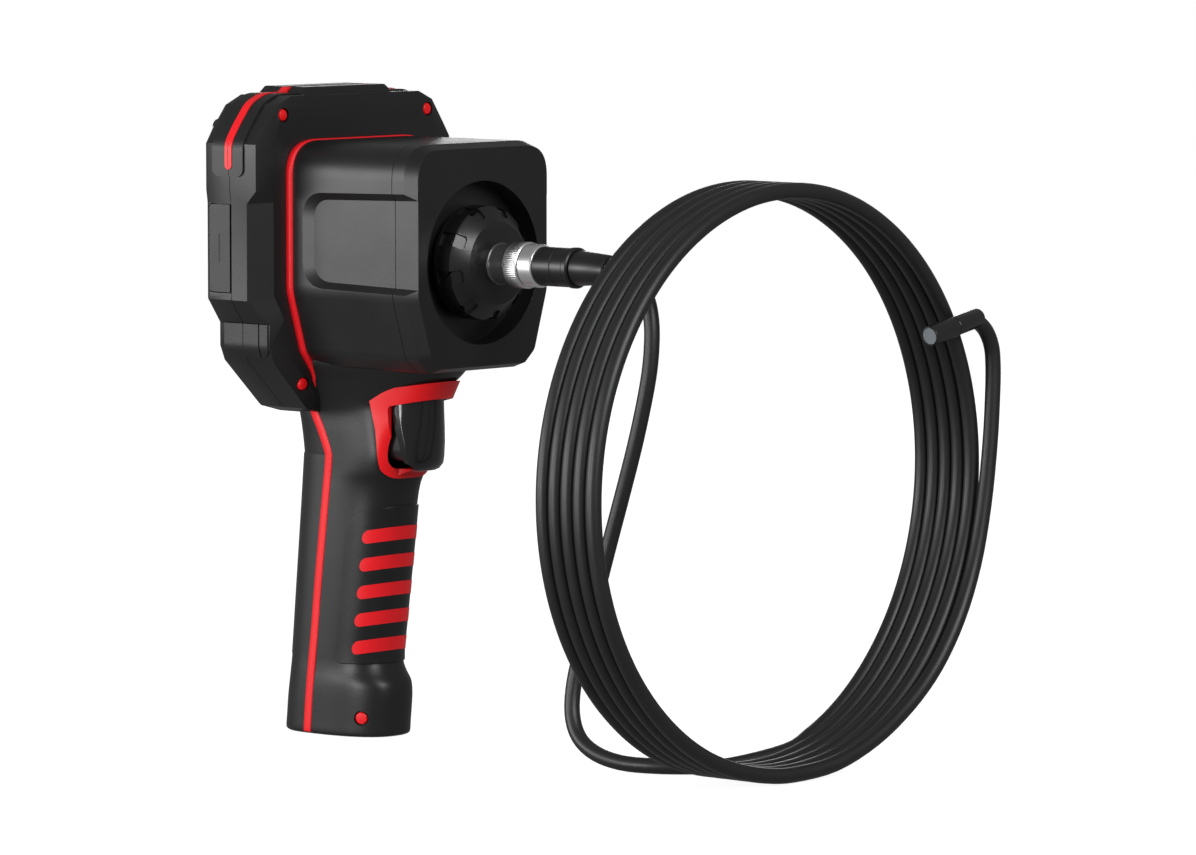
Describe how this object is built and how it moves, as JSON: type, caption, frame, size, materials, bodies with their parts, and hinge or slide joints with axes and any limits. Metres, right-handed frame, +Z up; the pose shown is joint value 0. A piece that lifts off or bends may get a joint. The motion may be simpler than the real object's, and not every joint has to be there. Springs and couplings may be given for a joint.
{
  "type": "handheld video borescope",
  "caption": "Pistol-grip video inspection camera with a rear screen, a rotary probe connector, a trigger and a coiled semi-rigid camera probe.",
  "frame": {"origin": "centre of the flat base of the grip, on the surface the part stands on", "axes": "+X the way the probe leaves the nose, +Y the user's left, +Z up"},
  "size_m": [0.2635, 0.2262, 0.2536],
  "materials": {
    "housing": "fine moulded texture",
    "soft_black": "soft moulded",
    "red_trim": "soft moulded",
    "red_frame": "satin",
    "red_rubber": "soft moulded",
    "grip_rubber": "soft moulded",
    "screen_glass": "polished",
    "lcd": "plain",
    "circuit_board": "plain",
    "keys": "soft moulded",
    "steel": "plain",
    "bronze": "sintered",
    "chrome": "polished",
    "dial_black": "satin",
    "plug_black": "satin",
    "cable_jacket": "satin",
    "tip_metal": "satin",
    "tip_glass": "polished",
    "led": "polished",
    "lens_black": "polished",
    "trigger_gloss": "gloss",
    "cell_wrap": "plain"
  },
  "bodies": {
    "body": {"front_housing": "housing", "rear_housing": "housing", "back_cover": "housing", "nose_cap": "housing", "trim_seal": "red_trim", "top_trim": "red_trim", "top_bumper": "soft_black", "bumper_upper_right": "soft_black", "bumper_upper_left": "soft_black", "bumper_lower_right": "soft_black", "bumper_lower_left": "soft_black", "display_glass": "screen_glass", "lcd_module": "lcd", "main_board": "circuit_board", "keypad_mat": "soft_black", "usb_port": "steel", "card_slot": "steel", "dial_bearing": "bronze", "strain_relief": "soft_black", "probe_cable_lead": "cable_jacket", "probe_cable_coil": "cable_jacket", "probe_cable_tail": "cable_jacket", "tip_sleeve": "tip_metal", "tip_housing": "tip_metal", "tip_window": "tip_glass", "tip_leds": "led", "tip_camera": "lens_black", "trigger_frame": "red_frame", "trigger_pin": "steel", "trigger_spring": "steel", "trigger_switch": "lcd", "grip_pad": "grip_rubber", "grip_bars": "red_rubber", "battery_cells": "cell_wrap", "battery_contacts": "steel", "head_screws": "red_frame", "grip_screws": "red_frame"},
    "dial_unit": {"dial": "dial_black", "retaining_ring": "steel", "rotary_socket": "dial_black", "plug_body": "chrome", "plug_sleeve": "plug_black"},
    "nut": {"coupling_nut": "chrome"},
    "trigger": {"trigger": "trigger_gloss"},
    "power_key": {"key_power": "keys"},
    "back_key": {"key_back": "keys"},
    "ok_key": {"key_ok": "keys"},
    "up_key": {"key_up": "keys"},
    "down_key": {"key_down": "keys"},
    "usb_flap": {"usb_cover": "soft_black"},
    "card_flap": {"card_cover": "soft_black"},
    "door": {"battery_door": "housing"}
  },
  "joints": [
    {"name": "dial_turn", "type": "hinge", "parent": "body", "child": "dial_unit", "pos_m": [0.07, 0, 0.187], "axis": [1, 0, 0], "range_deg": [-180, 180]},
    {"name": "nut_turn", "type": "hinge", "parent": "dial_unit", "child": "nut", "pos_m": [0.0925, 0, 0.187], "axis": [1, 0, 0], "range_deg": [0, 720]},
    {"name": "trigger_pull", "type": "hinge", "parent": "body", "child": "trigger", "pos_m": [0.028, 0, 0.1355], "axis": [0, 1, 0], "range_deg": [0, 8], "stiffness_Nm_per_rad": 0.6, "springref_deg": -5.73},
    {"name": "power_press", "type": "slide", "parent": "body", "child": "power_key", "axis": [1, 0, 0], "range_m": [0, 0.0008], "stiffness_N_per_m": 900, "springref_m": -0.0005},
    {"name": "back_press", "type": "slide", "parent": "body", "child": "back_key", "axis": [1, 0, 0], "range_m": [0, 0.0008], "stiffness_N_per_m": 900, "springref_m": -0.0005},
    {"name": "ok_press", "type": "slide", "parent": "body", "child": "ok_key", "axis": [1, 0, 0], "range_m": [0, 0.0008], "stiffness_N_per_m": 900, "springref_m": -0.0005},
    {"name": "up_press", "type": "slide", "parent": "body", "child": "up_key", "axis": [1, 0, 0], "range_m": [0, 0.0008], "stiffness_N_per_m": 900, "springref_m": -0.0005},
    {"name": "down_press", "type": "slide", "parent": "body", "child": "down_key", "axis": [1, 0, 0], "range_m": [0, 0.0008], "stiffness_N_per_m": 900, "springref_m": -0.0005},
    {"name": "usb_flap_open", "type": "hinge", "parent": "body", "child": "usb_flap", "pos_m": [-0.0125, -0.0532, 0.1915], "axis": [0, 0, 1], "range_deg": [0, 95]},
    {"name": "card_flap_open", "type": "hinge", "parent": "body", "child": "card_flap", "pos_m": [-0.0125, 0.0532, 0.1915], "axis": [0, 0, -1], "range_deg": [0, 95]},
    {"name": "door_off", "type": "slide", "parent": "body", "child": "door", "axis": [-0.9965, 0, 0.0837], "range_m": [0, 0.03]}
  ]
}
